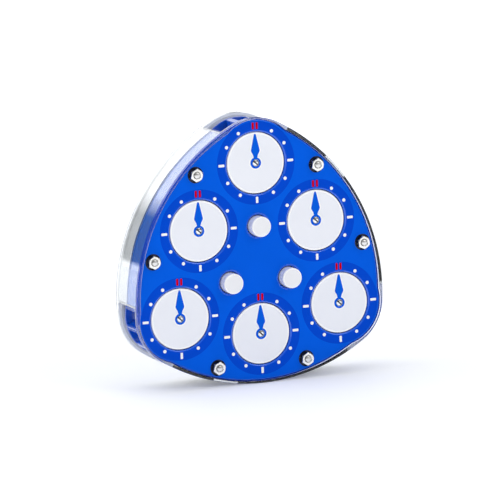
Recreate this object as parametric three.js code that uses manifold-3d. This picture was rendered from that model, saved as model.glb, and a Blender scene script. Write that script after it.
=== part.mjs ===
// Three-sided dial puzzle: clear shell, blue front half, white rear half, twelve turning dials,
// three push pins with pin gears and three ribbed corner wheels. Units are millimetres, +Z is up,
// the front face looks along -Y and the object stands on its lower curved side.
import * as THREE from 'three';
import Module from 'manifold-3d';
import { mergeVertices } from 'three/addons/utils/BufferGeometryUtils.js';

const wasm = await Module();
wasm.setup();

// ---- driving dimensions -------------------------------------------------------------------
const PITCH = 34;                      // distance between neighbouring dial centres
const MESH = PITCH / Math.SQRT2;       // distance from a pin to each dial it drives
const EDGE_R = (2 / Math.sqrt(3)) * MESH;  // edge dial centres from the middle
const PIN_R = EDGE_R / 2;              // push pins from the middle
const CORNER_R = PIN_R + MESH;         // corner dial centres from the middle
const BOLT_R = 43.2;                   // bolts from the middle
const BOLT_ANGLE = 25;                 // bolts each side of an edge dial, degrees

const BODY_DEPTH = 20.5;               // front face to rear face
const RIM = 1.4;                       // how far the clear shell stands proud of each face
const HALF_GAP = 0.15;                 // half of the gap on the parting line
const PLATE = 1.6;                     // face plate thickness
const LIP_BACK = 1.4;                  // clear lip round the face plate ends this deep
const FACE_CIRCLE = 16.7;              // face outline about each corner dial
const FACE_SIDE_R = 71.54;             // face outline along each side
const FACE_SIDE_C = 26.0;              // its centres, past the middle
const FACE_BACK = 1.3;                 // face outline is this deep, then steps in behind the lip
const SHELL_SIDE_R = 75.7;             // clear shell outline along each side
const SHELL_SIDE_C = 29.06;            // its centres, past the middle
const SHELL_CORNER_C = 36;             // clear shell corner arc centres from the middle
const SHELL_WALL = 1.0;
const SHELL_GAP = 0.12;                // between the clear shell and what it surrounds
const SKIRT = 1.2;                     // coloured side wall thickness
const WINDOW_HALF = 13.5;              // half width of the finger window at each corner
const WINDOW_FROM = 1.7;               // face depth left in front of each window
const WHEEL_ROOM = 0.3;                // clearance round each corner wheel

const HOLE_R = 12.0;                   // dial hole
const HOLE_BEVEL = 0.5;                // widened edge of the dial hole
const DISC_R = 11.7;
const DISC_TOP = 0.3;                  // dial surface below the face
const DISC_BACK = 3.0;
const HAND_BACK = 0.27;                // hand sits just above the dial surface
const HAND_TIP = 11.0;
const HAND_WIDE_AT = 4.6;
const HAND_HALF = 1.75;
const HAND_NECK = 0.65;
const HUB_RING = 2.13;
const HUB_HOLE = 1.4;
const AXLE_R = 1.2;
const AXLE_TOP = 0.25;                 // slotted axle end below the face
const BORE_R = 1.35;

const TEETH = 12;                      // corner wheels and edge dials
const PIN_TEETH = 8;                   // pin gears
const WHEEL_TIP = 16.1;                // corner wheel ribs
const WHEEL_ROOT = 12.6;
const WHEEL_FRONT = 3.3;               // corner wheel starts this deep
const FLANGE = 0.9;                    // discs that close the ends of its rib pockets
const GEAR_TIP = 16.0;                 // edge dial teeth
const GEAR_ROOT = 13.0;
const GEAR_FRONT = 7.45;               // front gear layer starts here
const GEAR_THICK = 2.0;
const HUB_R = 8.6;                     // edge dial neck between disc and teeth
const PIN_GEAR_TIP = 10.6;
const PIN_GEAR_ROOT = 7.6;
const PIN_GEAR_BORE = 2.65;
const TRAVEL = 3.6;                    // push pin stroke

const CAP_R = 4.0;                     // push pin
const CAP_EDGE = 0.45;
const PIN_HOLE = 4.35;
const PIN_NECK = 2.4;
const PIN_OUT = 3.8;                   // cap above the front face at rest
const PIN_BACK = 0.2;                  // rear end above the rear face at rest
const AXIAL = 0.3;                     // axial play beside each pin gear

const NUT_FLATS = 4.5;
const NUT_TOP = 2.0;                   // nut above the face
const NUT_SINK = 1.1;                  // nut below the face
const POCKET_R = 3.0;                  // round pocket each nut and bolt head sits in
const POCKET_DEPTH = 1.2;
const BOSS_R = 4.0;
const BOSS_BACK = 3.2;
const SHANK_R = 1.15;
const BOLT_HEAD_R = 2.3;
const MID_THICK = 1.0;                 // gear frame between the two gear layers
const MID_INSET = 2.7;

const ROUND = 24;                      // facets of dial-sized circles
const MEDIUM = 20;                     // of pins
const SMALL = 12;                      // of bolts, nuts and bores

const STAND = SHELL_SIDE_R - SHELL_SIDE_C;   // middle of the puzzle above the ground
const Y0 = (PIN_OUT - BODY_DEPTH - RIM) / 2;

const CORNERS = { top: 90, left: 210, right: 330 };
const EDGES = { left: 150, right: 30, bottom: 270 };
const BOLTS = [150, 270, 30].flatMap((a) => [a - BOLT_ANGLE, a + BOLT_ANGLE]);

const BLUE = 0x0058d8;
const WHITE = 0xe6e7ec;
const STEEL = 0xc9c8c4;
const CLEAR = 0xe8f0f6;

// ---- helpers: shapes are drawn face-on (x, z), with depth d measured back from the face -------
const rad = (a) => (a * Math.PI) / 180;
const at = (r, a) => [r * Math.cos(rad(a)), r * Math.sin(rad(a))];

const toSolid = (geometry) => {
  const g = geometry.clone();
  g.deleteAttribute('normal');
  g.deleteAttribute('uv');
  const m = mergeVertices(g, 1e-4);
  return new wasm.Manifold(new wasm.Mesh({
    numProp: 3,
    vertProperties: new Float32Array(m.attributes.position.array),
    triVerts: new Uint32Array(m.index.array),
  }));
};

const toGeometry = (solid) => {
  const mesh = solid.getMesh();
  const g = new THREE.BufferGeometry();
  g.setAttribute('position', new THREE.BufferAttribute(new Float32Array(mesh.vertProperties), 3));
  g.setIndex(new THREE.BufferAttribute(new Uint32Array(mesh.triVerts), 1));
  const flat = g.toNonIndexed();
  flat.computeVertexNormals();
  return flat;
};

const plate = (points, d0, d1, holes = []) => {
  const shape = new THREE.Shape(points.map(([x, z]) => new THREE.Vector2(x, z)));
  for (const h of holes) {
    shape.holes.push(new THREE.Path(h.map(([x, z]) => new THREE.Vector2(x, z))));
  }
  const g = new THREE.ExtrudeGeometry(shape, { depth: d1 - d0, bevelEnabled: false });
  g.rotateX(Math.PI / 2);
  g.translate(0, d1, 0);
  return toSolid(g);
};

const turned = (profile, segments, [x, z] = [0, 0]) => {
  const g = new THREE.LatheGeometry(profile.map(([r, d]) => new THREE.Vector2(r, d)), segments);
  g.translate(x, 0, z);
  return toSolid(g);
};

const rod = (r, d0, d1, segments, centre) =>
  turned([[0, d0], [r, d0], [r, d1], [0, d1]], segments, centre);

const tube = (inner, outer, d0, d1, segments, centre) =>
  turned([[inner, d0], [outer, d0], [outer, d1], [inner, d1], [inner, d0]], segments, centre);

const block = (w, depth, h, [x, y, z], turn = 0) => {
  const g = new THREE.BoxGeometry(w, depth, h);
  g.translate(x, y, z);
  g.rotateY(-turn);
  return toSolid(g);
};

const circle = (n, r, [cx, cz] = [0, 0], turn = 0) =>
  Array.from({ length: n }, (_, i) => {
    const a = turn + (2 * Math.PI * i) / n;
    return [cx + r * Math.cos(a), cz + r * Math.sin(a)];
  });

const arc = ([cx, cz], r, a0, a1, n) =>
  Array.from({ length: n + 1 }, (_, i) => {
    const [x, z] = at(r, a0 + ((a1 - a0) * i) / n);
    return [cx + x, cz + z];
  });

const angleOff = (a, dx, dz) =>
  Math.abs((((Math.atan2(dz, dx) * 180) / Math.PI - a + 900) % 360) - 180);

// Three corner arcs met by three side arcs. The arcs may cross in a kink or run on smoothly.
const outline = (sideR, sideC, cornerR, cornerC, cornerSteps, sideSteps) =>
  [90, 210, 330].flatMap((a) => {
    const k = at(cornerC, a);
    const o = at(sideC, a + 240);
    const dist = Math.hypot(k[0] - o[0], k[1] - o[1]);
    const near = (dist * dist + sideR * sideR - cornerR * cornerR) / (2 * dist * sideR);
    const off = (Math.acos(Math.min(1, near)) * 180) / Math.PI;
    const reach = angleOff(a + 60, k[0] - o[0], k[1] - o[1]) - off;
    const j = at(sideR, a + 60 - reach);
    const spread = angleOff(a, o[0] + j[0] - k[0], o[1] + j[1] - k[1]);
    return [
      ...arc(k, cornerR, a - spread, a + spread, cornerSteps),
      ...arc(o, sideR, a + 60 - reach, a + 60 + reach, sideSteps).slice(1, -1),
    ];
  });

const faceOutline = (grow) =>
  outline(FACE_SIDE_R + grow, FACE_SIDE_C, FACE_CIRCLE + grow, CORNER_R, 10, 10);

const cornerDrop = Math.hypot(
  SHELL_SIDE_C * Math.cos(rad(30)), SHELL_CORNER_C + SHELL_SIDE_C * Math.sin(rad(30)));
const shellOutline = (inset) => outline(
  SHELL_SIDE_R - inset, SHELL_SIDE_C, SHELL_SIDE_R - cornerDrop - inset, SHELL_CORNER_C, 8, 10);

// A gear outline with straight-sided teeth; half widths are in millimetres at root and tip.
const gearOutline = (n, root, tip, rootHalf, tipHalf, first, [cx, cz]) =>
  Array.from({ length: n }, (_, i) => {
    const a = rad(first) + (2 * Math.PI * i) / n;
    const spots = [
      [root, -Math.asin(rootHalf / root)],
      [tip, -Math.asin(tipHalf / tip)],
      [tip, Math.asin(tipHalf / tip)],
      [root, Math.asin(rootHalf / root)],
    ];
    return spots.map(([r, da]) => [cx + r * Math.cos(a + da), cz + r * Math.sin(a + da)]);
  }).flat();

// The rear half repeats the front half turned about the vertical through the body's middle.
const toRear = (solid) => {
  const g = toGeometry(solid);
  g.rotateZ(Math.PI);
  g.translate(0, BODY_DEPTH, 0);
  return toSolid(g);
};

// ---- fixed pieces ---------------------------------------------------------------------------
const cornerSpots = Object.values(CORNERS).map((a) => at(CORNER_R, a));
const edgeSpots = Object.values(EDGES).map((a) => at(EDGE_R, a));
const pinSpots = Object.values(CORNERS).map((a) => at(PIN_R, a));
const boltSpots = BOLTS.map((a) => at(BOLT_R, a));
const HALF = BODY_DEPTH / 2 - HALF_GAP;

const cutWindows = (solid, fromDepth) => {
  let out = solid;
  for (const a of Object.values(CORNERS)) {
    const length = 20;
    const depth = HALF + 1 - fromDepth;
    const reach = CORNER_R + 8 + length / 2;
    const spot = [reach, fromDepth + depth / 2, 0];
    out = out.subtract(block(length, depth, 2 * WINDOW_HALF, spot, rad(a)));
    out = out.subtract(rod(WHEEL_TIP + WHEEL_ROOM, fromDepth, HALF + 1, 30, at(CORNER_R, a)));
  }
  return out;
};

const makeHousing = () => {
  const holes = [
    ...[...cornerSpots, ...edgeSpots].map((c) => circle(ROUND, HOLE_R, c).reverse()),
    ...pinSpots.map((c) => circle(MEDIUM, PIN_HOLE, c).reverse()),
  ];
  const side = plate(shellOutline(SHELL_WALL + SHELL_GAP), PLATE - 0.01, HALF, [
    shellOutline(SHELL_WALL + SHELL_GAP + SKIRT).reverse(),
  ]);
  let out = plate(faceOutline(0), 0, PLATE, holes).add(cutWindows(side, WINDOW_FROM));
  for (const c of boltSpots) {
    out = out.add(rod(BOSS_R, PLATE - 0.01, BOSS_BACK, SMALL, c));
  }
  const within = plate(shellOutline(SHELL_WALL + SHELL_GAP), FACE_BACK - 0.01, HALF)
    .add(plate(faceOutline(1), -1, FACE_BACK));
  out = out.intersect(within);
  for (const c of boltSpots) {
    out = out.subtract(rod(POCKET_R, -1, POCKET_DEPTH, 16, c));
    out = out.subtract(rod(BORE_R, 0, BOSS_BACK + 1, 8, c));
  }
  const flare = [[0, -1], [HOLE_R + HOLE_BEVEL + 1, -1], [HOLE_R, HOLE_BEVEL], [0, HOLE_BEVEL]];
  for (const c of [...cornerSpots, ...edgeSpots]) {
    out = out.subtract(turned(flare, ROUND, c));
  }
  return out;
};

const makeShell = () => {
  const lip = plate(shellOutline(0), -RIM, LIP_BACK, [faceOutline(SHELL_GAP).reverse()]);
  const wall = plate(shellOutline(0), LIP_BACK - 0.01, HALF, [shellOutline(SHELL_WALL).reverse()]);
  return lip.add(cutWindows(wall, WINDOW_FROM));
};

const makeGearFrame = () => {
  const d0 = (BODY_DEPTH - MID_THICK) / 2;
  const d1 = d0 + MID_THICK;
  let out = plate(shellOutline(MID_INSET), d0, d1);
  for (const c of cornerSpots) {
    out = out.subtract(rod(WHEEL_TIP + WHEEL_ROOM, d0 - 1, d1 + 1, 30, c));
  }
  for (const c of pinSpots) {
    out = out.subtract(rod(PIN_GEAR_TIP + WHEEL_ROOM, d0 - 1, d1 + 1, ROUND, c));
  }
  for (const c of [...boltSpots, ...edgeSpots]) {
    out = out.subtract(rod(BORE_R, d0 - 1, d1 + 1, 8, c));
  }
  return out;
};

const housing = makeHousing();
const shell = makeShell();

const makeNut = (centre) => {
  const corner = NUT_FLATS / Math.sqrt(3);
  const across = corner + 0.25;
  const cone = [[0, -NUT_TOP], [corner - 0.35, -NUT_TOP], [across, -NUT_TOP + 0.5],
    [across, NUT_SINK], [0, NUT_SINK]];
  return plate(circle(6, corner, centre, Math.PI / 6), -NUT_TOP, NUT_SINK)
    .intersect(turned(cone, 18, centre))
    .subtract(rod(BORE_R, -NUT_TOP - 1, NUT_SINK + 1, SMALL, centre));
};

const makeBolt = (centre) => {
  const seat = BODY_DEPTH - POCKET_DEPTH + 0.1;
  const top = BODY_DEPTH + RIM - 0.3;
  const profile = [[0, -NUT_TOP - 0.2], [0.75, -NUT_TOP - 0.1], [SHANK_R, -NUT_TOP + 0.2],
    [SHANK_R, seat], [BOLT_HEAD_R, seat], [BOLT_HEAD_R, top - 0.6], [BOLT_HEAD_R - 0.6, top],
    [0, top]];
  return turned(profile, SMALL, centre)
    .subtract(plate(circle(6, 1.2, centre), top - 1.3, top + 1));
};

// ---- moving pieces --------------------------------------------------------------------------
const axleWithSlots = (centre) => {
  let out = rod(AXLE_R, AXLE_TOP, BODY_DEPTH - AXLE_TOP, SMALL, centre);
  for (const d of [AXLE_TOP, BODY_DEPTH - AXLE_TOP]) {
    const g = new THREE.BoxGeometry(3, 1, 0.45);
    g.rotateY(rad(40));
    g.translate(centre[0], d, centre[1]);
    out = out.subtract(toSolid(g));
  }
  return out;
};

const discProfile = (back) => [[BORE_R, DISC_TOP], [DISC_R - 0.35, DISC_TOP],
  [DISC_R, DISC_TOP + 0.3], [DISC_R, back], [BORE_R, back], [BORE_R, DISC_TOP]];

const makeDisc = (centre) => turned(discProfile(DISC_BACK), ROUND, centre);

const makeEdgeDial = (centre) => {
  const teeth = plate(
    gearOutline(TEETH, GEAR_ROOT, GEAR_TIP, 1.7, 1.0, 15, centre),
    GEAR_FRONT, GEAR_FRONT + GEAR_THICK, [circle(SMALL, BORE_R, centre).reverse()]);
  const profile = [[BORE_R, DISC_TOP], [DISC_R - 0.35, DISC_TOP], [DISC_R, DISC_TOP + 0.3],
    [DISC_R, DISC_BACK], [HUB_R, DISC_BACK], [HUB_R, GEAR_FRONT + 0.5],
    [BORE_R, GEAR_FRONT + 0.5], [BORE_R, DISC_TOP]];
  return turned(profile, ROUND, centre).add(teeth);
};

const makeWheel = (centre) => {
  const back = BODY_DEPTH - WHEEL_FRONT;
  const bore = circle(SMALL, BORE_R, centre).reverse();
  let out = plate(
    gearOutline(TEETH, WHEEL_ROOT, WHEEL_TIP, 1.7, 1.0, 15, centre), WHEEL_FRONT, back, [bore]);
  for (const d of [WHEEL_FRONT, back - FLANGE]) {
    out = out.add(plate(circle(36, WHEEL_TIP, centre), d, d + FLANGE, [bore]));
  }
  return out;
};

const makeHand = (centre) => {
  const [cx, cz] = centre;
  const neckAt = Math.sqrt(HUB_RING * HUB_RING - HAND_NECK * HAND_NECK);
  const from = (Math.atan2(neckAt, -HAND_NECK) * 180) / Math.PI;
  const to = (Math.atan2(neckAt, HAND_NECK) * 180) / Math.PI + 360;
  const hub = arc([0, 0], HUB_RING, from, to, 12);
  const blade = [[HAND_HALF, HAND_WIDE_AT], [0.35, HAND_TIP - 0.25], [0.15, HAND_TIP],
    [-0.15, HAND_TIP], [-0.35, HAND_TIP - 0.25], [-HAND_HALF, HAND_WIDE_AT]];
  const points = [...hub, ...blade].map(([x, z]) => [cx + x, cz + z]);
  return plate(points, 0, HAND_BACK, [circle(SMALL, HUB_HOLE, centre).reverse()]);
};

const makePin = (centre) => {
  const front = GEAR_FRONT - AXIAL;
  const back = GEAR_FRONT + GEAR_THICK + AXIAL;
  const end = BODY_DEPTH + PIN_BACK;
  const profile = [[0, -PIN_OUT], [CAP_R - CAP_EDGE, -PIN_OUT], [CAP_R, CAP_EDGE - PIN_OUT],
    [CAP_R, front], [PIN_NECK, front], [PIN_NECK, back], [CAP_R, back],
    [CAP_R, end - CAP_EDGE], [CAP_R - CAP_EDGE, end], [0, end]];
  return turned(profile, MEDIUM, centre);
};

const makePinGear = (angle, centre) => plate(
  gearOutline(PIN_TEETH, PIN_GEAR_ROOT, PIN_GEAR_TIP, 1.7, 0.95, angle, centre),
  GEAR_FRONT, GEAR_FRONT + GEAR_THICK, [circle(16, PIN_GEAR_BORE, centre).reverse()]);

// ---- assembly -------------------------------------------------------------------------------
const group = new THREE.Group();
group.name = 'three_sided_dial_puzzle';

const place = (name, solid, color, metalness = 0, roughness = 0.4, opacity = 1) => {
  const g = toGeometry(solid);
  g.translate(0, Y0, STAND);
  const material = new THREE.MeshStandardMaterial({
    color, metalness, roughness, opacity, transparent: opacity < 1,
  });
  material.name = name;
  const mesh = new THREE.Mesh(g, material);
  mesh.name = name;
  group.add(mesh);
};

place('front_housing', housing, BLUE, 0, 0.3);
place('rear_housing', toRear(housing), WHITE, 0, 0.3);
place('front_shell', shell, CLEAR, 0, 0.08, 0.35);
place('rear_shell', toRear(shell), CLEAR, 0, 0.08, 0.35);
place('gear_frame', makeGearFrame(), WHITE, 0, 0.5);

boltSpots.forEach((c, i) => {
  place(`nut_${i + 1}`, makeNut(c), STEEL, 0.9, 0.3);
  place(`bolt_${i + 1}`, makeBolt(c), STEEL, 0.9, 0.3);
});

for (const [side, angle] of Object.entries(CORNERS)) {
  const c = at(CORNER_R, angle);
  const rearDisc = toRear(makeDisc([-c[0], c[1]]));
  const rearHand = toRear(makeHand([-c[0], c[1]]));
  place(`corner_wheel_${side}`, makeWheel(c), BLUE, 0, 0.3);
  place(`corner_axle_${side}`, axleWithSlots(c), STEEL, 0.9, 0.3);
  place(`front_corner_dial_${side}`, makeDisc(c), WHITE);
  place(`front_corner_hand_${side}`, makeHand(c), BLUE);
  place(`rear_corner_dial_${side}`, rearDisc, BLUE);
  place(`rear_corner_hand_${side}`, rearHand, WHITE);
}

for (const [side, angle] of Object.entries(EDGES)) {
  const c = at(EDGE_R, angle);
  const mirrored = [-c[0], c[1]];
  place(`edge_axle_${side}`, axleWithSlots(c), STEEL, 0.9, 0.3);
  place(`front_edge_dial_${side}`, makeEdgeDial(c), WHITE);
  place(`front_edge_hand_${side}`, makeHand(c), BLUE);
  place(`rear_edge_dial_${side}`, toRear(makeEdgeDial(mirrored)), BLUE);
  place(`rear_edge_hand_${side}`, toRear(makeHand(mirrored)), WHITE);
}

for (const [side, angle] of Object.entries(CORNERS)) {
  const c = at(PIN_R, angle);
  place(`push_pin_${side}`, makePin(c), WHITE);
  place(`pin_gear_${side}`, makePinGear(angle, c), WHITE, 0, 0.5);
}

export default group;
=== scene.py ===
"""Looks of the three-sided dial puzzle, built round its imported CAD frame.

Shapes are drawn face-on in millimetres as (x, z), with depth d measured back from the front face.
"""

import math

import bmesh
import bpy
from mathutils import Matrix, Vector, geometry


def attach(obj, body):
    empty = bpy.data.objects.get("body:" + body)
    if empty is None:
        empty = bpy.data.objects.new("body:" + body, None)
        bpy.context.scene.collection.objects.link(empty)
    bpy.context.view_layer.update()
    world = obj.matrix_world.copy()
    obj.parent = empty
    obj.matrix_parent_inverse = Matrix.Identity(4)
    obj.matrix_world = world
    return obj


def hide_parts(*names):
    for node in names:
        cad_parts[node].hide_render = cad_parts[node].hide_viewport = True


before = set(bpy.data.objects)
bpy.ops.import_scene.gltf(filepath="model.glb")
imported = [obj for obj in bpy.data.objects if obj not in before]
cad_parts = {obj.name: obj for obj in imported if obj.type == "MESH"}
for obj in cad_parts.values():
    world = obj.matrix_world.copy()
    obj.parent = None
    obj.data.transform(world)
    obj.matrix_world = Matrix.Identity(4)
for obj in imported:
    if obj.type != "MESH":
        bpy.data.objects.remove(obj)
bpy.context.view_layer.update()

MM = 0.001

# ---- dimensions in millimetres -----------------------------------------------------------------
# They are the CAD's own where it has them, apart from the few whose comments give its value.
PITCH = 34.0                    # between neighbouring dials
MESH = PITCH / math.sqrt(2)     # between a corner wheel and its pin
EDGE_R = 2 / math.sqrt(3) * MESH
PIN_R = EDGE_R / 2
CORNER_R = PIN_R + MESH
BOLT_R, BOLT_ANGLE = 43.2, 25
BODY_DEPTH, RIM, HALF = 20.5, 1.4, 10.1     # face to face, clear lip, depth of one half
PLATE, FACE_BACK = 1.6, 1.3                 # back of the face plate and of its outer edge
FACE = dict(side_r=71.54, side_c=26.0, corner_r=16.7, corner_c=CORNER_R)
SHELL = dict(side_r=75.7, side_c=29.06, corner_r=19.25, corner_c=36.0)
SHELL_WALL, SHELL_GAP, SKIRT, LIP_FOOT = 1.0, 0.12, 1.2, 1.4
WINDOW_HALF, WINDOW_FROM, WHEEL_ROOM = 13.5, 1.7, 16.4
WINDOW_IN, WINDOW_LENGTH = 8, 20            # where the cut starts past a dial's centre, its reach
STAGGER = 0.03                              # keeps two cutters' ends from sharing a plane
HOLE_R, HOLE_ROUND, RING_R = 12.0, 0.5, 15.9
DISC_R, DISC_FLAT, DISC_TOP, DISC_BACK = 11.7, 10.98, 0.3, 3.0
BORE_R, AXLE_R = 1.35, 1.2
SCREW_TOP, SCREW_SLOT_DEPTH, SCREW_SLOT_TURN = 0.2, 0.55, -42   # 0.25 below the face in the CAD
WHEEL_FRONT, WHEEL_BACK, WHEEL_TIP, FLANGE = 3.3, 17.2, 16.1, 0.9
WHEEL_ROOT = 12.5                           # 12.6 in the CAD
TEETH, FIRST_TOOTH = 12, 15                 # of the thumb wheels and the edge dials, in degrees
GEAR_FRONT, GEAR_BACK, GEAR_GAP, HUB_R = 7.45, 9.45, 0.3, 8.6
CAP_R, PIN_HOLE = 3.88, 4.15                # 4.0 and 4.35 in the CAD
PIN_OUT, PIN_BACK, PIN_NECK = 3.8, 0.2, 2.4
PIN_EDGE = 0.45                             # rounding of the push pins' ends
NUT_FLATS, NUT_TOP, NUT_SINK = 4.5, 2.0, 1.1
NUT_TWISTS = (7, -4, 10, 2, -8, 5)          # degrees each nut stands from square, as tightened
POCKET_R, POCKET_DEPTH, BOSS_R, BOSS_BACK = 3.0, 1.2, 2.6, 3.2  # BOSS_R is 4.0 in the CAD
SHANK_R, BOLT_HEAD_R = 1.15, 2.3
PRINT_FRONT, PRINT_BACK, PRINT_EDGE = -0.05, 0.03, 0.04
BAR_AT, BAR_APART, DASH_AT, DOT_AT, DOT_R = 14.2, 0.8, 14.1, 13.58, 0.66
BAR_SIZE, DASH_SIZE = (2.6, 0.86), (2.4, 0.98)
PAINTED_DARK_EDGE = (0, 37), (50, 80), (226, 248), (260, 360)   # degrees round the parting line where its end is painted dark, a painted dark reflection in the clear rim

STAND = SHELL["side_r"] - SHELL["side_c"]
Y0 = (PIN_OUT - BODY_DEPTH - RIM) / 2
CORNERS = {"top": 90, "left": 210, "right": 330}
EDGES = {"left": 150, "right": 30, "bottom": 270}
BOLTS = [a + s * BOLT_ANGLE for a in (150, 270, 30) for s in (-1, 1)]
ROUND, FINE = 96, 480


def at(r, angle):
    return r * math.cos(math.radians(angle)), r * math.sin(math.radians(angle))


corner_spots = {side: at(CORNER_R, a) for side, a in CORNERS.items()}
edge_spots = {side: at(EDGE_R, a) for side, a in EDGES.items()}
pin_spots = {side: at(PIN_R, a) for side, a in CORNERS.items()}
bolt_spots = [at(BOLT_R, a) for a in BOLTS]
dial_spots = [*corner_spots.values(), *edge_spots.values()]


def front(x=0.0, z=0.0):
    """Places a piece drawn about (x, z) on the front half."""
    return Matrix.Translation((x * MM, Y0 * MM, (z + STAND) * MM))


def rear(x=0.0, z=0.0):
    """The same on the rear half, turned about the vertical."""
    turn = Matrix.Rotation(math.pi, 4, "Z")
    place_at = Matrix.Translation((x * MM, (Y0 + BODY_DEPTH) * MM, (z + STAND) * MM))
    return place_at @ turn


# ---- outlines ----------------------------------------------------------------------------------
def circle(r, n=ROUND, centre=(0.0, 0.0), turn=0.0):
    return [(centre[0] + r * math.cos(turn + math.tau * i / n),
             centre[1] + r * math.sin(turn + math.tau * i / n)) for i in range(n)]


def ray(centre_r, radius, off):
    """Distance from the middle, at an angle off the centre's own, to that circle."""
    under = radius ** 2 - (centre_r * math.sin(off)) ** 2
    return centre_r * math.cos(off) + math.sqrt(under) if under > 0 else 0.0


def rounded_triangle(side_r, side_c, corner_r, corner_c, grow=0.0):
    """Points of three side arcs met by three corner arcs."""
    def both(off):
        return (ray(corner_c, corner_r + grow, off),
                ray(-side_c, side_r + grow, math.radians(60) - off))

    steps = [math.radians(4 + i * 0.05) for i in range(400)]
    meet = min(steps, key=lambda off: abs(both(off)[0] - both(off)[1]))
    points = []
    for i in range(FINE):
        angle = 360 * i / FINE
        off = abs((angle - 90 + 60) % 120 - 60)
        corner, side = both(math.radians(off))
        points.append(at(corner if math.radians(off) < meet else side, angle))
    return points


def face_outline(grow=0.0):
    return rounded_triangle(**FACE, grow=grow)


def shell_outline(inset=0.0):
    return rounded_triangle(**SHELL, grow=-inset)


def bar(length, width, inset, centre, turn, corner=0.25, n=4):
    """A bar with rounded corners; its length runs along the angle turn."""
    r = max(corner - inset, 0.01)
    half_l, half_w = length / 2 - inset - r, width / 2 - inset - r
    points = []
    for k, (sx, sy) in enumerate(((1, 1), (-1, 1), (-1, -1), (1, -1))):
        for i in range(n + 1):
            a = (k + i / n) * math.pi / 2
            points.append((sx * half_l + r * math.cos(a), sy * half_w + r * math.sin(a)))
    c, s = math.cos(turn), math.sin(turn)
    return [(centre[0] + x * c - y * s, centre[1] + x * s + y * c) for x, y in points]


def hand_outline(grow=0.0):
    """A round hub with a narrow neck and a pointed blade, larger all round by grow."""
    hub, neck = 2.13 + grow, 0.65 + grow * 0.9
    start = math.atan2(math.sqrt(hub ** 2 - neck ** 2), -neck)
    sweep = math.tau - 2 * (start - math.pi / 2)
    n = 28
    points = [(hub * math.cos(start + sweep * i / n), hub * math.sin(start + sweep * i / n))
              for i in range(n + 1)]
    tip = min(11.05 + grow, 11.3)
    blade = [(1.0 + grow, 3.2), (1.6 + grow, 4.25), (1.75 + grow, 4.75), (1.64 + grow, 5.3),
             (0.42 + grow * 0.9, 10.6), (0.28 + grow * 0.8, tip - 0.1), (0.12 + grow * 0.4, tip)]
    return points + blade + [(-x, z) for x, z in reversed(blade)]


def soften(corners, steps=5, closed=False):
    """Rounds each corner (a, b, radius) of a profile."""
    out, n = [], len(corners)
    for i, (a, b, r) in enumerate(corners):
        if r == 0 or (not closed and i in (0, n - 1)):
            out.append((a, b))
            continue
        p = Vector((a, b))
        u = (Vector(corners[i - 1][:2]) - p).normalized()
        v = (Vector(corners[(i + 1) % n][:2]) - p).normalized()
        half = u.angle(v) / 2
        mid = p + (u + v).normalized() * (r / math.sin(half))
        first = p + u * (r / math.tan(half)) - mid
        last = p + v * (r / math.tan(half)) - mid
        a0, a1 = math.atan2(first.y, first.x), math.atan2(last.y, last.x)
        turn = (a1 - a0 + math.pi) % math.tau - math.pi
        out += [(mid.x + r * math.cos(a0 + turn * k / steps),
                 mid.y + r * math.sin(a0 + turn * k / steps)) for k in range(steps + 1)]
    return out


# ---- mesh making -------------------------------------------------------------------------------
class Shape:
    """A closed mesh made of rings of points, strips between them and flat caps."""

    def __init__(self):
        self.points, self.faces, self.kinds = [], [], []

    def ring(self, outline, d):
        first = len(self.points)
        self.points += [(x * MM, d * MM, z * MM) for x, z in outline]
        return list(range(first, len(self.points)))

    def face(self, corners, kind):
        self.faces.append(corners)
        self.kinds.append(kind)

    def strip(self, a, b, kind=0):
        if len(a) == 1 or len(b) == 1:
            a, b = (b, a) if len(a) == 1 else (a, b)
            for i in range(len(a)):
                self.face([a[i], a[(i + 1) % len(a)], b[0]], kind)
            return
        for i in range(len(a)):
            j = (i + 1) % len(a)
            self.face([a[i], a[j], b[j], b[i]], kind)

    def strips(self, rings, kind=0, closed=False):
        for a, b in zip(rings, rings[1:] + (rings[:1] if closed else [])):
            self.strip(a, b, kind)

    def cap(self, rings, kind=0):
        flat = [i for ring in rings for i in ring]
        loops = [[Vector((self.points[i][0], self.points[i][2], 0)) / MM for i in ring]
                 for ring in rings]
        for triangle in geometry.tessellate_polygon(loops):
            self.face([flat[k] for k in triangle], kind)

    def lathe(self, profile, n=ROUND, closed=False, kind=0, centre=(0.0, 0.0)):
        """Turns (r, d) points about an axis; a point on the axis becomes one vertex."""
        rings = [self.ring([centre] if r < 1e-6 else circle(r, n, centre), d)
                 for r, d in profile]
        self.strips(rings, kind, closed)
        return rings

    def slab(self, outline, front_d, back_d, edge=0.0, kind=0, holes=()):
        """outline(inset) pushed from front_d to back_d, with a rounded front edge."""
        insets = soften([(edge * 2, front_d, 0), (0, front_d, edge), (0, back_d, 0)], 3)
        rings = [self.ring(outline(i), d) for i, d in insets]
        self.strips(rings, kind)
        inner = [[self.ring(h, front_d), self.ring(h, back_d)] for h in holes]
        self.strips_of(inner, kind)
        self.cap([rings[0]] + [h[0] for h in inner], kind)
        self.cap([rings[-1]] + [h[1] for h in inner], kind)

    def strips_of(self, groups, kind):
        for group in groups:
            self.strips(group, kind)

    def mesh(self, name):
        data = bpy.data.meshes.new(name)
        data.from_pydata(self.points, [], self.faces)
        data.polygons.foreach_set("material_index", self.kinds)
        bm = bmesh.new()
        bm.from_mesh(data)
        bmesh.ops.remove_doubles(bm, verts=bm.verts, dist=1e-8)
        bmesh.ops.recalc_face_normals(bm, faces=bm.faces)
        bm.to_mesh(data)
        bm.free()
        return data


def finished(obj):
    """The object's mesh with its modifiers applied."""
    bpy.context.view_layer.update()
    graph = bpy.context.evaluated_depsgraph_get()
    data = bpy.data.meshes.new_from_object(obj.evaluated_get(graph))
    obj.modifiers.clear()
    return data


def linked(name, data):
    """A new object in the scene."""
    obj = bpy.data.objects.new(name, data)
    bpy.context.scene.collection.objects.link(obj)
    return obj


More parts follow.
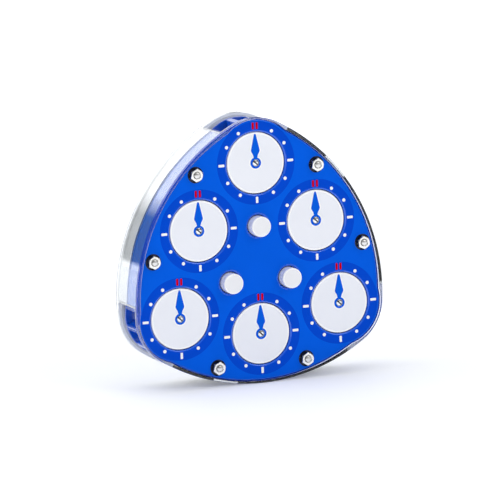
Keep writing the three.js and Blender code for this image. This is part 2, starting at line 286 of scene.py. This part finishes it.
def combined(base, others, operation):
    """base joined with, or cut by, each of the other meshes."""
    obj = linked("base", base)
    for data in others:
        tool = linked("tool", data)
        modifier = obj.modifiers.new("cut", "BOOLEAN")
        modifier.operation, modifier.solver, modifier.object = operation, "EXACT", tool
        obj.data = finished(obj)
        bpy.data.objects.remove(tool)
    result = obj.data
    bpy.data.objects.remove(obj)
    bm = bmesh.new()
    bm.from_mesh(result)
    bmesh.ops.remove_doubles(bm, verts=bm.verts, dist=0.002 * MM)
    bmesh.ops.dissolve_degenerate(bm, edges=bm.edges, dist=0.001 * MM)
    bmesh.ops.recalc_face_normals(bm, faces=bm.faces)
    bm.to_mesh(result)
    bm.free()
    return result


def smooth(data, angle=32):
    data.polygons.foreach_set("use_smooth", [True] * len(data.polygons))
    data.set_sharp_from_angle(angle=math.radians(angle))
    data.update()
    return data


def place(name, data, matrix, body, replaced, materials):
    """A shown piece that stands for CAD nodes and rides on a body."""
    obj = linked(name, data)
    if not data.materials:
        for material in materials:
            data.materials.append(material)
    else:
        for i, material in enumerate(materials):
            data.materials[i] = material
    obj.matrix_world = matrix
    weighted = obj.modifiers.new("weighted", "WEIGHTED_NORMAL")
    weighted.keep_sharp = True
    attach(obj, body)
    if replaced:
        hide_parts(*replaced)


# ---- materials ---------------------------------------------------------------------------------
def shader(name):
    material = bpy.data.materials.new(name)
    material.use_nodes = True
    nodes = material.node_tree.nodes
    return material, nodes, material.node_tree.links, nodes["Principled BSDF"]


def noise(nodes, links, scale, detail=3.0):
    where = nodes.new("ShaderNodeTexCoord")
    texture = nodes.new("ShaderNodeTexNoise")
    texture.inputs["Scale"].default_value = scale
    texture.inputs["Detail"].default_value = detail
    links.new(where.outputs["Object"], texture.inputs["Vector"])
    return texture.outputs["Fac"]


def spread(nodes, links, value, low, high, start=0.3, stop=0.7):
    """Takes a value from start..stop to low..high."""
    span = nodes.new("ShaderNodeMapRange")
    span.inputs["From Min"].default_value = start
    span.inputs["From Max"].default_value = stop
    span.inputs["To Min"].default_value = low
    span.inputs["To Max"].default_value = high
    links.new(value, span.inputs["Value"])
    return span.outputs["Result"]


CLOUDS, GLOSS_PATCHES, BUMP_HEIGHT = 70, 420, 0.00003


def surface(name, colour, rough, specular=0.5, metal=0.0, coat=0.0, vary=0.03, grain=2500,
            bump=0.15):
    """Moulded plastic, print or metal: cloudy colour, uneven gloss and a fine bump."""
    material, nodes, links, base = shader(name)
    tones = nodes.new("ShaderNodeMix")
    tones.data_type = "RGBA"
    tones.inputs["A"].default_value = (*[c * (1 - vary) for c in colour], 1)
    tones.inputs["B"].default_value = (*[min(1, c * (1 + vary)) for c in colour], 1)
    links.new(spread(nodes, links, noise(nodes, links, CLOUDS), 0, 1), tones.inputs["Factor"])
    links.new(tones.outputs["Result"], base.inputs["Base Color"])
    gloss = noise(nodes, links, GLOSS_PATCHES, 5)
    links.new(spread(nodes, links, gloss, rough * 0.85, rough * 1.18), base.inputs["Roughness"])
    height = nodes.new("ShaderNodeBump")
    height.inputs["Strength"].default_value = bump
    height.inputs["Distance"].default_value = BUMP_HEIGHT
    links.new(noise(nodes, links, grain, 4), height.inputs["Height"])
    links.new(height.outputs["Normal"], base.inputs["Normal"])
    base.inputs["Metallic"].default_value = metal
    base.inputs["Specular IOR Level"].default_value = specular
    base.inputs["Coat Weight"].default_value = coat
    base.inputs["Coat Roughness"].default_value = 0.04
    base.inputs["Coat IOR"].default_value = 1.8
    return material


def clear_plastic():
    """Polished clear plastic; lamps shine straight through it."""
    material, nodes, links, base = shader("clear_plastic")
    base.inputs["Base Color"].default_value = (0.97, 0.985, 1, 1)
    base.inputs["Transmission Weight"].default_value = 1
    base.inputs["IOR"].default_value = 1.49
    gloss = noise(nodes, links, 160, 4)
    links.new(spread(nodes, links, gloss, 0.0, 0.035), base.inputs["Roughness"])
    through = nodes.new("ShaderNodeBsdfTransparent")
    path = nodes.new("ShaderNodeLightPath")
    mix = nodes.new("ShaderNodeMixShader")
    links.new(path.outputs["Is Shadow Ray"], mix.inputs["Fac"])
    links.new(base.outputs["BSDF"], mix.inputs[1])
    links.new(through.outputs["BSDF"], mix.inputs[2])
    links.new(mix.outputs["Shader"], nodes["Material Output"].inputs["Surface"])
    return material


face_blue = surface("face_blue", (0.0, 0.104, 0.70), 0.34, specular=0.03)
ring_blue = surface("ring_blue", (0.0, 0.063, 0.575), 0.42, specular=0.03)
edge_blue = surface("edge_blue", (0.0, 0.104, 0.70), 0.12, specular=0.5, coat=0.5, vary=0.02,
                    bump=0.05)
wall_blue = surface("wall_blue", (0.0, 0.128, 0.60), 0.10, specular=1.0, coat=1.0, vary=0.02,
                    bump=0.0)
wheel_blue = surface("wheel_blue", (0.0, 0.075, 0.52), 0.12, specular=1.0, coat=1.0, bump=0.05)
hand_blue = surface("hand_blue", (0.0, 0.104, 0.68), 0.32, specular=0.05)
disc_white = surface("disc_white", (0.83, 0.835, 0.875), 0.42, specular=0.25, vary=0.012)
# Lighter cream-white: a painted highlight on the dial rims and push-pin cap edges, and the print
# of the hand borders
highlight_and_print_white = surface("highlight_and_print_white", (0.98, 0.965, 0.93), 0.3, specular=0.4, vary=0.01)
pin_white = surface("pin_white", (0.82, 0.815, 0.83), 0.36, specular=0.3, vary=0.012)
body_white = surface("body_white", (0.84, 0.845, 0.86), 0.3, specular=0.4, vary=0.015)
wall_white = surface("wall_white", (0.78, 0.80, 0.81), 0.10, specular=1.0, coat=1.0, vary=0.015,
                     bump=0.0)
ring_grey = surface("ring_grey", (0.62, 0.64, 0.68), 0.42, specular=0.2)
# Painted shade: near-black blue for the front nut pockets, standing for the shadow in those
# recesses
painted_shade_blue = surface("painted_shade_blue", (0.001, 0.008, 0.05), 0.2, specular=0.5, vary=0.1)
# Painted shade: dark grey for the screw slots and the rear nut pockets
painted_shade_grey = surface("painted_shade_grey", (0.10, 0.10, 0.10), 0.3, specular=0.4, vary=0.1)
# Frosted white for the clear shells' window ends, also painted bright to stand for the highlight
# lines along them
frosted_highlight = surface("frosted_edge", (0.93, 0.95, 0.97), 0.3, specular=0.5, vary=0.02)
# Painted dark reflection: a near-black coat on the front clear rim's parting-line end, in the
# listed angle ranges
painted_dark_lip = surface("painted_dark_lip", (0.02, 0.02, 0.024), 0.1, specular=0.6, vary=0.2)
print_white = surface("print_white", (0.93, 0.92, 0.88), 0.5, specular=0.05, vary=0.02)
print_blue = surface("print_blue", (0.0, 0.09, 0.62), 0.5, specular=0.1, vary=0.02)
print_red = surface("print_red", (0.58, 0.0, 0.0), 0.5, specular=0.01, vary=0.05)
steel = surface("steel", (0.93, 0.92, 0.89), 0.24, metal=1.0, vary=0.03, grain=1800,
                bump=0.3)
bolt_steel = surface("bolt_steel", (0.80, 0.79, 0.77), 0.32, metal=1.0, vary=0.06, bump=0.4)
inner = surface("inner_plastic", (0.72, 0.72, 0.72), 0.55, specular=0.3, vary=0.04, bump=0.3)
clear = clear_plastic()


# ---- housings and shells -----------------------------------------------------------------------
def windows(from_d, to_d, kind):
    """Tools that open the finger window at each corner, with room for its wheel."""
    tools = []
    for spot, angle in zip(corner_spots.values(), CORNERS.values()):
        near, a = CORNER_R + WINDOW_IN, math.radians(angle)
        far = near + WINDOW_LENGTH
        corners = [(near, -WINDOW_HALF), (far, -WINDOW_HALF),
                   (far, WINDOW_HALF), (near, WINDOW_HALF)]
        box, room = Shape(), Shape()
        turned = [(x * math.cos(a) - y * math.sin(a), x * math.sin(a) + y * math.cos(a))
                  for x, y in corners]
        box.slab(lambda inset: turned, from_d, to_d, kind=kind)
        room.slab(lambda inset: circle(WHEEL_ROOM, ROUND, spot), from_d + STAGGER,
                  to_d + STAGGER, kind=kind)
        tools += [box.mesh("box"), room.mesh("room")]
    return tools


def housing():
    """Face plate with dial, pin and nut holes, rounded edges, and a side wall with windows.

    Its kinds are 0 face, 1 printed ring, 2 rounded edges, 3 side wall, 4 nut pockets, painted
    near-black as shade.
    """
    shape = Shape()
    outer_inset = SHELL_WALL + SHELL_GAP
    edge = soften([(-1, 0, 0), (0, 0, 0.45), (0, FACE_BACK, 0)], 5)[1:]
    outer = [shape.ring(face_outline(grow), d) for grow, d in edge]
    shape.strips(outer, 2)
    side = shell_outline(outer_inset)
    step = [min(pair, key=lambda p: math.hypot(*p)) for pair in zip(face_outline(), side)]
    wall = [shape.ring(step, FACE_BACK), shape.ring(step, PLATE - 0.05),
            shape.ring(side, PLATE), shape.ring(side, HALF)]
    wall += [shape.ring(shell_outline(outer_inset + SKIRT), d) for d in (HALF, PLATE)]
    shape.strip(outer[-1], wall[0], 3)
    shape.strips(wall, 3)
    tops, bottoms = [], []
    for spot in dial_spots:
        ring = shape.ring(circle(RING_R, ROUND, spot), 0)
        profile = soften([(HOLE_R + 1, 0, 0), (HOLE_R, 0, HOLE_ROUND), (HOLE_R, PLATE, 0)])[1:]
        hole = [shape.ring(circle(r, ROUND, spot), d) for r, d in profile]
        shape.strip(ring, hole[0], 1)
        shape.strips(hole, 2)
        tops.append(ring)
        bottoms.append(hole[-1])
    for spot in pin_spots.values():
        profile = soften([(PIN_HOLE + 1.2, 0, 0), (PIN_HOLE, 0, 0.8),
                          (PIN_HOLE, PLATE, 0)], 7)[1:]
        hole = [shape.ring(circle(r, 64, spot), d) for r, d in profile]
        shape.strips(hole, 2)
        tops.append(hole[0])
        bottoms.append(hole[-1])
    for spot in bolt_spots:
        profile = soften([(POCKET_R + 1, 0, 0), (POCKET_R, 0, 0.15), (POCKET_R, POCKET_DEPTH, 0),
                          (BORE_R, POCKET_DEPTH, 0), (BORE_R, BOSS_BACK, 0),
                          (BOSS_R, BOSS_BACK, 0.3), (BOSS_R, PLATE, 0)])[1:]
        pocket = [shape.ring(circle(r, 48, spot), d) for r, d in profile]
        shape.strips(pocket, 4)
        tops.append(pocket[0])
        bottoms.append(pocket[-1])
    shape.cap([outer[0], *tops], 0)
    shape.cap([wall[-1], *bottoms], 0)
    cutters = windows(WINDOW_FROM, HALF + 1, 3)
    return smooth(combined(shape.mesh("housing"), cutters, "DIFFERENCE"))


def clear_shell():
    """A raised lip round the face and a wall round the side, with finger windows.

    Its kinds are 0 the clear plastic, 1 the parting-line end, painted dark in places as a dark
    reflection,
    2 the frosted window ends, painted white as highlight lines, 3 the inner edge that lies
    against the coloured plate.
    """
    shape = Shape()
    lip = soften([(0.0, HALF, 0), (0.0, -RIM, 0.42), (1.0, -RIM, 0)], 5)[:-1]
    outer = [shape.ring(shell_outline(i), d) for i, d in lip]
    inner_lip = soften([(1.0, -RIM, 0), (0.0, -RIM, 0.3), (0.0, -0.2, 0)], 4)[1:]
    inner_lip.append((0.0, LIP_FOOT))
    inside = [shape.ring(face_outline(SHELL_GAP + grow), d) for grow, d in inner_lip]
    wall = [shape.ring(shell_outline(SHELL_WALL), d) for d in (LIP_FOOT, HALF)]
    shape.strip(wall[-1], outer[0], 0)
    # In the listed angle ranges the parting-line end gets kind 1, which the front shell paints
    # dark as a dark reflection
    for i in range(1, FINE + 1):     # that strip's faces, from the last back to the first
        angle = (FINE - i + 0.5) * 360 / FINE
        if any(low < angle < high for low, high in PAINTED_DARK_EDGE):
            shape.kinds[-i] = 1
    shape.strips([*outer, *inside[:-1]], 0)
    shape.strip(inside[-2], inside[-1], 3)
    shape.strips([inside[-1], *wall], 0)
    cutters = windows(WINDOW_FROM, HALF + 1, 2)
    return smooth(combined(shape.mesh("shell"), cutters, "DIFFERENCE"))


def marks(kind):
    """Printed marks round every dial: dots and dashes, or the pair of bars at twelve."""
    shape = Shape()

    def print_on(outline):
        shape.slab(outline, PRINT_FRONT, PRINT_BACK, PRINT_EDGE)

    for cx, cz in dial_spots:
        if kind == "bars":
            for x in (-BAR_APART, BAR_APART):
                print_on(lambda inset: bar(*BAR_SIZE, inset, (cx + x, cz + BAR_AT), math.pi / 2))
            continue
        for hour in range(1, 12):
            angle = 90 - 30 * hour
            dot = hour % 3 != 0
            ox, oz = at(DOT_AT if dot else DASH_AT, angle)
            middle = (cx + ox, cz + oz)
            if dot:
                print_on(lambda inset: circle(DOT_R - inset, 20, middle))
            else:
                print_on(lambda inset: bar(*DASH_SIZE, inset, middle, math.radians(angle)))
    return smooth(shape.mesh(kind))


# ---- dials, hands, screws ----------------------------------------------------------------------
def disc(back_profile):
    """A dial disc whose outermost edge is kind 1; on the front dials it is painted lighter, a
    painted highlight on the rounded rim.
    """
    shape = Shape()
    rim = soften([(DISC_FLAT, DISC_TOP, 0), (DISC_R, DISC_TOP, 0.4), (DISC_R, DISC_BACK, 0)])
    inner_ring = shape.ring(circle(BORE_R), DISC_TOP)
    middle = shape.ring(circle(DISC_FLAT), DISC_TOP)
    outside = [shape.ring(circle(r), d) for r, d in rim[1:-1]]
    back = [shape.ring(circle(r), d) for r, d in back_profile]
    shape.strip(inner_ring, middle, 0)
    shape.strips([middle, *outside], 1)
    shape.strips([outside[-1], *back, inner_ring], 0)
    return shape


def gear_outline(root, tip, root_half, tip_half, groove=0.0):
    """Teeth with filleted roots, rounded tips and, for a rib, fine grip grooves."""
    points, step = [], math.tau / TEETH
    span = tip - root
    flank = [(root_half * 1.12, root), (root_half * 0.93, root + 0.12 * span),
             (tip_half + 0.08 * (root_half - tip_half), tip - 0.16 * span),
             (tip_half * 0.88, tip - 0.04 * span), (tip_half * 0.66, tip),
             (tip_half * 0.48, tip - groove), (tip_half * 0.22, tip)]
    side = [*flank, (0.0, tip - groove), *[(-w, r) for w, r in reversed(flank)]]
    gap_from = math.asin(root_half * 1.12 / root)
    for i in range(TEETH):
        middle = math.radians(FIRST_TOOTH) + step * i
        for w, r in reversed(side):
            points.append((r * math.cos(middle + math.asin(w / r)),
                           r * math.sin(middle + math.asin(w / r))))
        for k in (0.33, 0.67):
            a = middle + gap_from + (step - 2 * gap_from) * k
            points.append((root * math.cos(a), root * math.sin(a)))
    return points


def edge_dial():
    """An edge dial's disc with its hub and gear."""
    body = disc([(DISC_R, DISC_BACK), (HUB_R, DISC_BACK), (HUB_R, GEAR_FRONT + 0.5),
                 (BORE_R, GEAR_FRONT + 0.5)])
    gear = Shape()
    teeth = gear_outline(13.0, 16.0, 1.7, 1.0)
    gear.slab(lambda inset: teeth, GEAR_FRONT, GEAR_BACK, holes=[circle(BORE_R + 0.1, 48)])
    return smooth(combined(body.mesh("disc"), [gear.mesh("gear")], "UNION"))


def thumb_wheel():
    """Twelve ribs between two round flanges."""
    ribs = Shape()
    outline = gear_outline(WHEEL_ROOT, WHEEL_TIP, 1.75, 1.15, 0.16)
    ribs.slab(lambda inset: outline, WHEEL_FRONT + FLANGE / 2, WHEEL_BACK - FLANGE / 2,
              holes=[circle(BORE_R + 0.1, 48)])
    ends = []
    for d in (WHEEL_FRONT, WHEEL_BACK - FLANGE):
        end = Shape()
        end.lathe(soften([(BORE_R, d, 0), (WHEEL_TIP, d, 0.28), (WHEEL_TIP, d + FLANGE, 0.28),
                          (BORE_R, d + FLANGE, 0)], 3, True), closed=True)
        ends.append(end.mesh("end"))
    return smooth(combined(ribs.mesh("ribs"), ends, "UNION"))


def hand():
    shape = Shape()
    shape.slab(lambda inset: hand_outline(-inset), 0.02, 0.27, 0.06, holes=[circle(1.4, 40)])
    return smooth(shape.mesh("hand"))


def hand_border():
    """The pale outline printed round a hand."""
    shape = Shape()
    shape.slab(lambda inset: hand_outline(0.58 - inset), 0.262, 0.3, 0.01,
               holes=[circle(1.5, 40)])
    return smooth(shape.mesh("hand_border"))


def screw():
    """An axle with a slotted, slightly domed end at each face; the slot, kind 1, is painted dark
    as shade.
    """
    shape, low, high = Shape(), SCREW_TOP, BODY_DEPTH - SCREW_TOP
    profile = [(0, low, 0), (AXLE_R * 0.75, low + 0.04, 0), (AXLE_R, low + 0.12, 0.1),
               (AXLE_R, high - 0.12, 0.1), (AXLE_R * 0.75, high - 0.04, 0), (0, high, 0)]
    shape.lathe(soften(profile, 3), 48)
    slots = []
    outline = bar(3.2, 0.55, 0, (0.0, 0.0), math.radians(SCREW_SLOT_TURN))
    for d0, d1 in ((low - 1, low + SCREW_SLOT_DEPTH), (high - SCREW_SLOT_DEPTH, high + 1)):
        slot = Shape()
        slot.slab(lambda inset: outline, d0, d1, kind=1)
        slots.append(slot.mesh("slot"))
    return smooth(combined(shape.mesh("screw"), slots, "DIFFERENCE"))


def push_pin():
    """A pin with a cap at each end and a neck for its gear; kind 1 is the caps' outer edge,
    painted lighter as a highlight.
    """
    shape = Shape()
    f, b, end = GEAR_FRONT - GEAR_GAP, GEAR_BACK + GEAR_GAP, BODY_DEPTH + PIN_BACK
    profile = [(0, -PIN_OUT, 0), (CAP_R, -PIN_OUT, PIN_EDGE), (CAP_R, f, 0), (PIN_NECK, f, 0),
               (PIN_NECK, b, 0), (CAP_R, b, 0), (CAP_R, end, PIN_EDGE), (0, end, 0)]
    shape.lathe(soften(profile, 6), 72)
    for i, corners in enumerate(shape.faces):
        middle = sum((Vector(shape.points[c]) for c in corners), Vector()) / len(corners) / MM
        near_end = min(middle.y + PIN_OUT, end - middle.y) < 0.4
        if near_end and math.hypot(middle.x, middle.z) > CAP_R - 0.46:
            shape.kinds[i] = 1
    return smooth(shape.mesh("push_pin"))


def hex_nut():
    """A hexagon with its corners turned off, bored for the bolt."""
    across = NUT_FLATS / math.sqrt(3)
    body, cone = Shape(), Shape()
    body.slab(lambda inset: circle(across, 6, turn=math.pi / 6), -NUT_TOP - 1, NUT_SINK)
    cone.lathe(soften([(0, -NUT_TOP, 0), (across - 0.38, -NUT_TOP, 0.12),
                       (across + 0.3, -NUT_TOP + 0.55, 0), (across + 0.3, NUT_SINK + 1, 0),
                       (0, NUT_SINK + 1, 0)], 4), 64)
    bore = Shape()
    bore.lathe([(0, -NUT_TOP - 2), (1.62, -NUT_TOP - 2), (1.62, -NUT_TOP - 0.05),
                (1.3, -NUT_TOP + 0.28), (1.3, NUT_SINK + 2), (0, NUT_SINK + 2)], 48)
    cut = combined(body.mesh("nut"), [cone.mesh("cone")], "INTERSECT")
    return smooth(combined(cut, [bore.mesh("bore")], "DIFFERENCE"), 25)


def bolt():
    """A through bolt: domed end at the front, socket head at the rear."""
    seat, top = BODY_DEPTH - POCKET_DEPTH + 0.1, BODY_DEPTH + RIM - 0.3
    shape, socket = Shape(), Shape()
    profile = [(0, -NUT_TOP - 0.22, 0), (0.62, -NUT_TOP - 0.2, 0), (SHANK_R, -NUT_TOP, 0.25),
               (SHANK_R, seat, 0), (BOLT_HEAD_R, seat, 0), (BOLT_HEAD_R, top, 0.5), (0, top, 0)]
    shape.lathe(soften(profile, 5), 48)
    socket.slab(lambda inset: circle(1.25, 6), top - 1.3, top + 1)
    return smooth(combined(shape.mesh("bolt"), [socket.mesh("socket")], "DIFFERENCE"))


# ---- assembly ----------------------------------------------------------------------------------
HALVES = (("front", front), ("rear", rear))
LOOKS = {
    "front": dict(face=[face_blue, ring_blue, edge_blue, wall_blue, painted_shade_blue],
                  disc=[disc_white, highlight_and_print_white], hand=[hand_blue], border=[highlight_and_print_white],
                  marks=[print_white], edge=painted_dark_lip, backing=ring_blue),
    "rear": dict(face=[body_white, ring_grey, body_white, wall_white, painted_shade_grey],
                 disc=[face_blue, edge_blue], hand=[pin_white], border=[ring_blue],
                 marks=[print_blue], edge=clear, backing=wall_white),
}
SLOTS = {"front": ("blue_plastic", "white_plastic"), "rear": ("white_plastic", "blue_plastic")}

housing_mesh, shell_mesh = housing(), clear_shell()
corner_disc = smooth(disc([(DISC_R, DISC_BACK), (BORE_R, DISC_BACK)]).mesh("corner_disc"))
edge_disc, hand_mesh, border_mesh = edge_dial(), hand(), hand_border()
dots, bars = marks("dots"), marks("bars")

for half, spot in HALVES:
    look, (body_slot, dial_slot) = LOOKS[half], SLOTS[half]
    place(f"{half}_body", housing_mesh.copy(), spot(), "case", [f"{half}_housing"],
          look["face"])
    place(f"{half}_clear_rim", shell_mesh.copy(), spot(), "case", [f"{half}_shell"],
          [clear, look["edge"], frosted_highlight, look["backing"]])
    place(f"{half}_hour_marks", dots.copy(), spot(), "case", [], look["marks"])
    place(f"{half}_twelve_marks", bars.copy(), spot(), "case", [], [print_red])
    kinds = (("corner", corner_spots, corner_disc), ("edge", edge_spots, edge_disc))
    for group, spots, disc_mesh in kinds:
        own = disc_mesh.copy()
        own_hand, own_border = hand_mesh.copy(), border_mesh.copy()
        for side, (x, z) in spots.items():
            body = f"corner_{side}" if group == "corner" else f"{half}_edge_{side}"
            name = f"{half}_{group}"
            place(f"{name}_disc_{side}", own, spot(x, z), body, [f"{name}_dial_{side}"],
                  look["disc"])
            place(f"{name}_pointer_{side}", own_hand, spot(x, z), body,
                  [f"{name}_hand_{side}"], look["hand"])
            place(f"{name}_pointer_border_{side}", own_border, spot(x, z), body, [],
                  look["border"])

wheel_mesh, screw_mesh = thumb_wheel(), screw()
for side, (x, z) in corner_spots.items():
    place(f"thumb_wheel_{side}", wheel_mesh, front(x, z), f"corner_{side}",
          [f"corner_wheel_{side}"], [wheel_blue])
    place(f"corner_screw_{side}", screw_mesh, front(x, z), f"corner_{side}",
          [f"corner_axle_{side}"], [steel, painted_shade_grey])
for side, (x, z) in edge_spots.items():
    place(f"edge_screw_{side}", screw_mesh, front(x, z), "case", [f"edge_axle_{side}"],
          [steel, painted_shade_grey])

pin_mesh, nut_mesh, bolt_mesh = push_pin(), hex_nut(), bolt()
for side, (x, z) in pin_spots.items():
    place(f"plunger_{side}", pin_mesh, front(x, z), f"pin_{side}", [f"push_pin_{side}"],
          [pin_white, highlight_and_print_white])
for i, (x, z) in enumerate(bolt_spots):
    twist = Matrix.Rotation(math.radians(NUT_TWISTS[i]), 4, "Y")
    place(f"hex_nut_{i + 1}", nut_mesh, front(x, z) @ twist, "case", [f"nut_{i + 1}"], [steel])
    place(f"through_bolt_{i + 1}", bolt_mesh, front(x, z), "case", [f"bolt_{i + 1}"],
          [bolt_steel])

for name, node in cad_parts.items():
    if name == "gear_frame" or name.startswith("pin_gear"):
        node.data.materials.clear()
        node.data.materials.append(inner)

# ---- floor, light and camera -------------------------------------------------------------------
CENTRE = (0, 0, 0.05)

floor_shape = bmesh.new()
bmesh.ops.create_grid(floor_shape, x_segments=4, y_segments=4, size=3)
floor_data = bpy.data.meshes.new("floor")
floor_shape.to_mesh(floor_data)
floor_shape.free()
floor = linked("floor", floor_data)
floor_white = surface("floor_white", (0.9, 0.91, 0.93), 0.6, specular=0.1, vary=0.0, bump=0.0)
floor_nodes, floor_links = floor_white.node_tree.nodes, floor_white.node_tree.links
glow = floor_nodes["Principled BSDF"].inputs
glow["Emission Color"].default_value = (1, 1, 1, 1)
spot_on_floor = floor_nodes.new("ShaderNodeTexCoord")
reach = floor_nodes.new("ShaderNodeVectorMath")
reach.operation = "LENGTH"
floor_links.new(spot_on_floor.outputs["Object"], reach.inputs[0])
# A faint glow that grows away from the object and hides the floor's far edge.
fade = spread(floor_nodes, floor_links, reach.outputs["Value"], 0.15, 0.5, 0.2, 1.2)
floor_links.new(fade, glow["Emission Strength"])
floor_data.materials.append(floor_white)
floor.location = (0, 0, -0.00005)


def softbox(name, position, size, power, colour=(1, 1, 1), seen=True):
    """A rectangular lamp aimed at the object; seen says whether gloss reflects it."""
    light = bpy.data.lights.new(name, "AREA")
    light.shape, light.size, light.size_y = "RECTANGLE", *size
    light.energy, light.color = power, colour
    obj = linked(name, light)
    obj.location = position
    aim = Vector(CENTRE) - Vector(position)
    obj.rotation_euler = aim.to_track_quat("-Z", "Y").to_euler()
    obj.visible_camera = False
    obj.visible_glossy = seen


softbox("key", (0.75, -1.1, 1.0), (0.8, 0.8), 5.6)
softbox("fill", (-1.1, -0.9, 0.7), (0.9, 0.9), 1.2, (0.96, 0.98, 1), False)
softbox("side", (-1.3, 0.25, 0.55), (0.8, 0.8), 5.5, seen=False)
softbox("back", (-0.2, 0.9, 1.3), (2.0, 1.4), 3)
softbox("top", (0.0, 0.1, 1.4), (2.0, 2.0), 5)

# The world is plain white to the camera and soft to the object. What gloss reflects is a separate
# sky, brighter behind the object, with one dark band.
world = bpy.data.worlds.new("studio")
bpy.context.scene.world = world
world.use_nodes = True
nodes, links = world.node_tree.nodes, world.node_tree.links
seen_white = nodes["Background"]
seen_white.inputs["Color"].default_value = (1, 1, 1, 1)
seen_white.inputs["Strength"].default_value = 1.0
soft = nodes.new("ShaderNodeBackground")
soft.inputs["Color"].default_value = (0.93, 0.96, 1, 1)
soft.inputs["Strength"].default_value = 0.62
sheen = nodes.new("ShaderNodeBackground")
way = nodes.new("ShaderNodeTexCoord")
split = nodes.new("ShaderNodeSeparateXYZ")
links.new(way.outputs["Generated"], split.inputs["Vector"])
ramp = nodes.new("ShaderNodeValToRGB")
links.new(spread(nodes, links, split.outputs["Z"], 0, 1, -0.2, 0.8), ramp.inputs["Fac"])
stops = ramp.color_ramp.elements
stops[0].position, stops[0].color = 0.0, (0.9, 0.92, 0.95, 1)
stops[1].position, stops[1].color = 1.0, (0.7, 0.72, 0.75, 1)
for where, level in ((0.20, 1.0), (0.22, 0.07), (0.40, 0.07), (0.48, 1.0)):
    stop = stops.new(where)
    stop.color = (level, level, level, 1)
links.new(ramp.outputs["Color"], sheen.inputs["Color"])
links.new(spread(nodes, links, split.outputs["Y"], 0.25, 1.5, 0, 0.45), sheen.inputs["Strength"])
rays = nodes.new("ShaderNodeLightPath")
first, second = nodes.new("ShaderNodeMixShader"), nodes.new("ShaderNodeMixShader")
links.new(rays.outputs["Is Diffuse Ray"], first.inputs["Fac"])
links.new(sheen.outputs["Background"], first.inputs[1])
links.new(soft.outputs["Background"], first.inputs[2])
links.new(rays.outputs["Is Camera Ray"], second.inputs["Fac"])
links.new(first.outputs["Shader"], second.inputs[1])
links.new(seen_white.outputs["Background"], second.inputs[2])
links.new(second.outputs["Shader"], nodes["World Output"].inputs["Surface"])

lens = bpy.data.cameras.new("camera")
lens.lens, lens.sensor_width = 286.97, 36.0
lens.clip_end = 20
camera = linked("camera", lens)
RIGHT = Vector((0.92368, -0.38180, -0.03240))
AHEAD = Vector((0.37243, 0.91446, -0.15833))
UP = Vector((0.09008, 0.13418, 0.98686))
turn = Matrix((RIGHT, UP, -AHEAD)).transposed().to_4x4()
camera.matrix_world = Matrix.Translation((-0.5670, -1.39245, 0.29104)) @ turn
bpy.context.scene.camera = camera
bpy.context.scene.view_settings.view_transform = "Standard"
